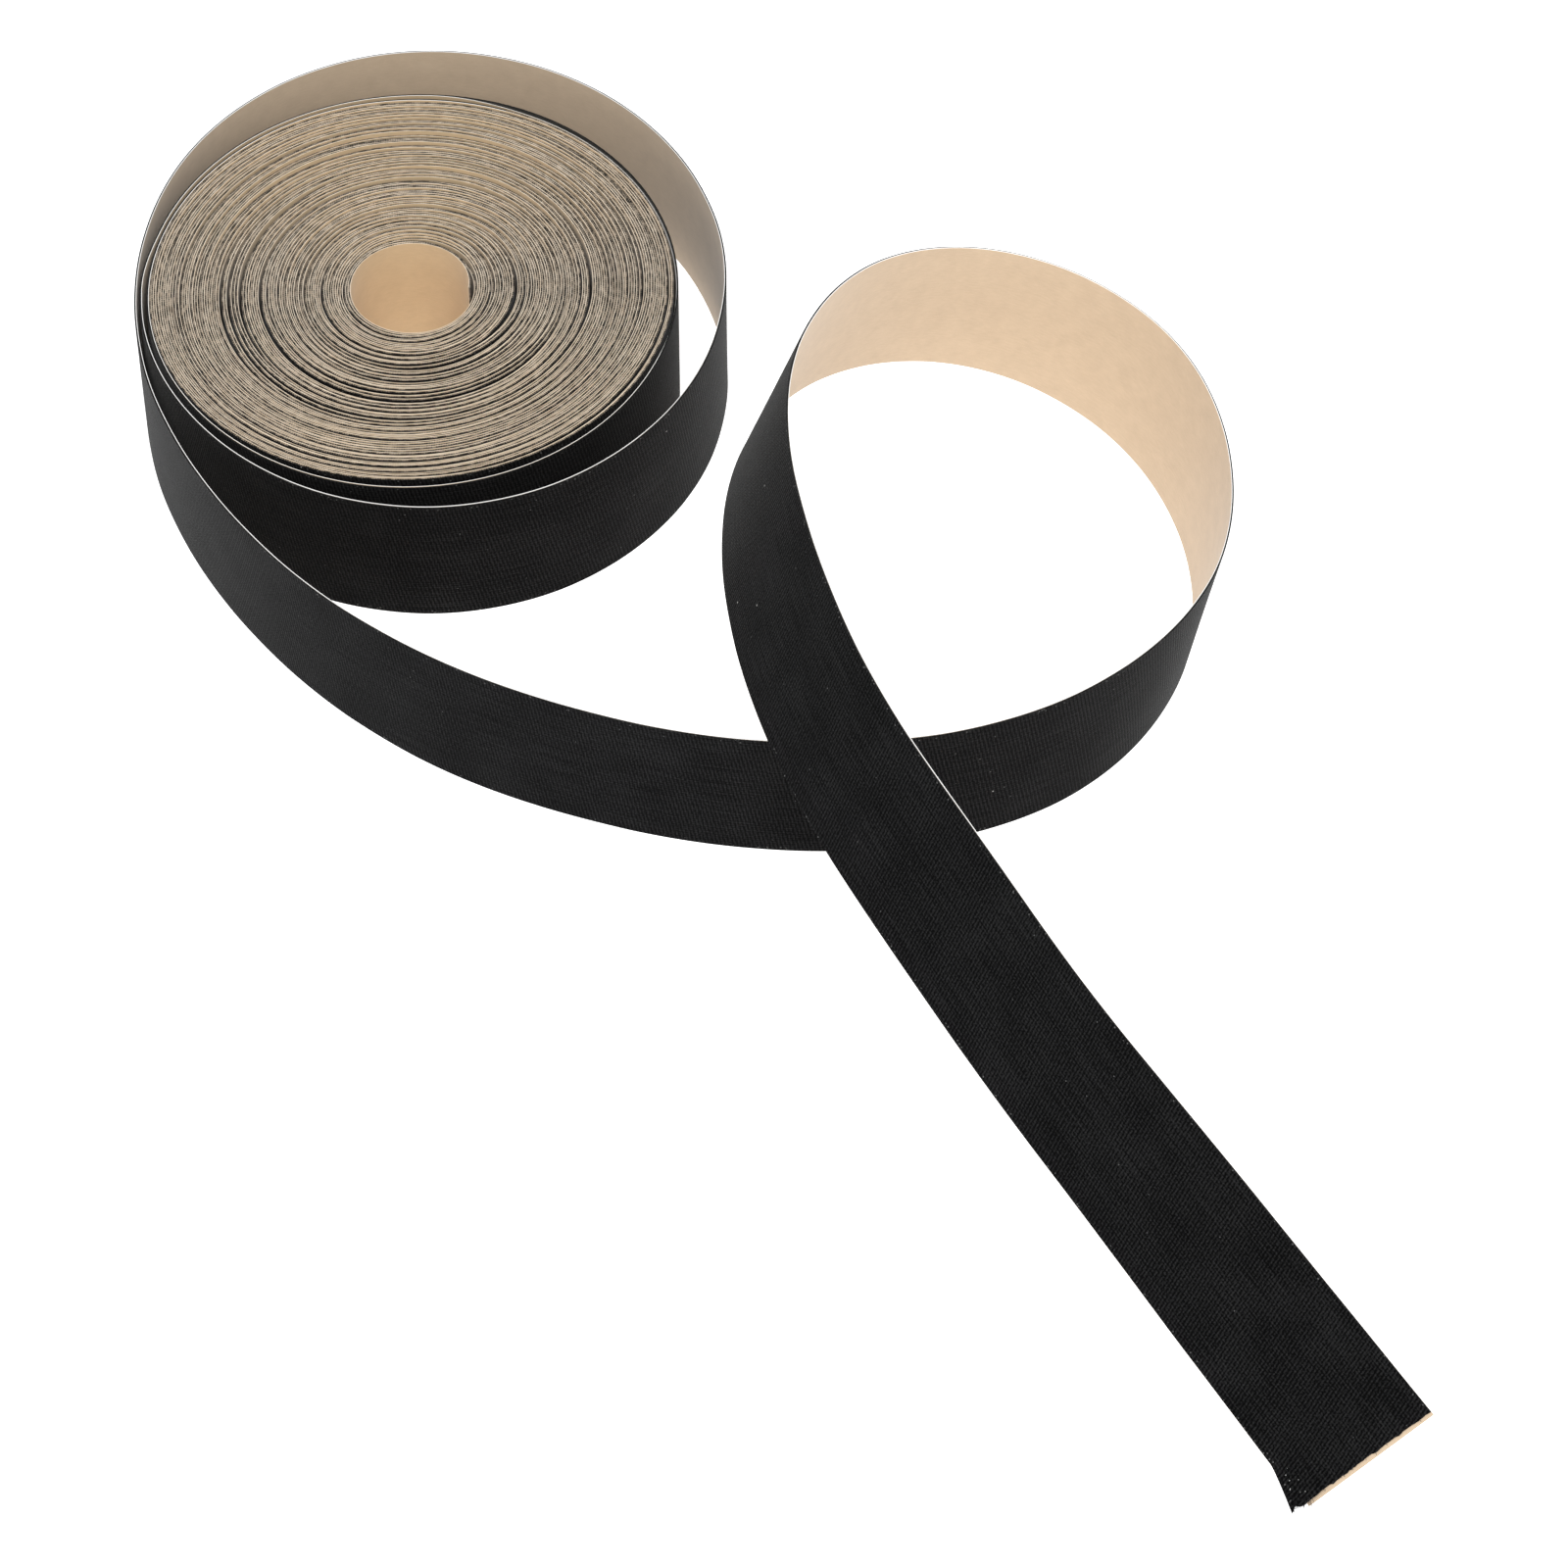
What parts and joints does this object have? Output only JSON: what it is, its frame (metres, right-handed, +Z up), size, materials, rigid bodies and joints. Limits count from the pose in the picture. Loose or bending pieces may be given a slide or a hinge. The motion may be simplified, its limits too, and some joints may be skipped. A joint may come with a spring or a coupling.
{
  "type": "grip tape roll",
  "caption": "Coreless roll of woven cloth grip tape on a paper liner, standing on edge with its free end unwound in a loose turn, a loop and a sloping tail.",
  "frame": {"origin": "centre of the footprint's box, on the floor", "axes": "+Z up, along the roll's axis; -Y is the front, where the tail ends; +X is towards the loop, away from the roll"},
  "size_m": [0.1926, 0.264, 0.0561],
  "materials": {
    "cloth": "matte woven black cotton",
    "adhesive": "tacky, satin",
    "liner": "calendered kraft, slightly glossy",
    "wound_turns": "edges of black cloth and tan liner, wound together"
  },
  "bodies": {
    "run": {"loose_turn_cloth_front": "cloth", "loose_turn_cloth_right": "cloth", "loose_turn_cloth_back": "cloth", "run_cloth_left": "cloth", "run_cloth_front": "cloth", "loop_cloth_right": "cloth", "loop_cloth_back": "cloth", "loop_cloth_left": "cloth", "run_adhesive": "adhesive", "run_liner": "liner"},
    "roll": {"wound_pack": "wound_turns", "inner_turn_cloth": "cloth", "inner_turn_adhesive": "adhesive", "inner_turn_liner": "liner", "outer_turn_cloth": "cloth", "outer_turn_adhesive": "adhesive", "outer_turn_liner": "liner"},
    "tail": {"tail_cloth": "cloth", "tail_adhesive": "adhesive", "tail_liner": "liner"},
    "tip": {"tip_cloth": "cloth", "tip_adhesive": "adhesive"}
  },
  "joints": [
    {"name": "roll_spin", "type": "hinge", "parent": "run", "child": "roll", "pos_m": [-0.05284, 0.08008, 0.0125], "axis": [0, 0, 1], "continuous": true},
    {"name": "tail_lift", "type": "hinge", "parent": "run", "child": "tail", "pos_m": [0.01599, -0.03234, 0.042], "axis": [-0.4846, -0.1206, -0.8664], "range_deg": [0, 60]},
    {"name": "cloth_peel", "type": "hinge", "parent": "tail", "child": "tip", "pos_m": [0.06877, -0.10575, 0.01807], "axis": [-0.594, -0.1904, -0.7817], "range_deg": [0, 120]}
  ]
}
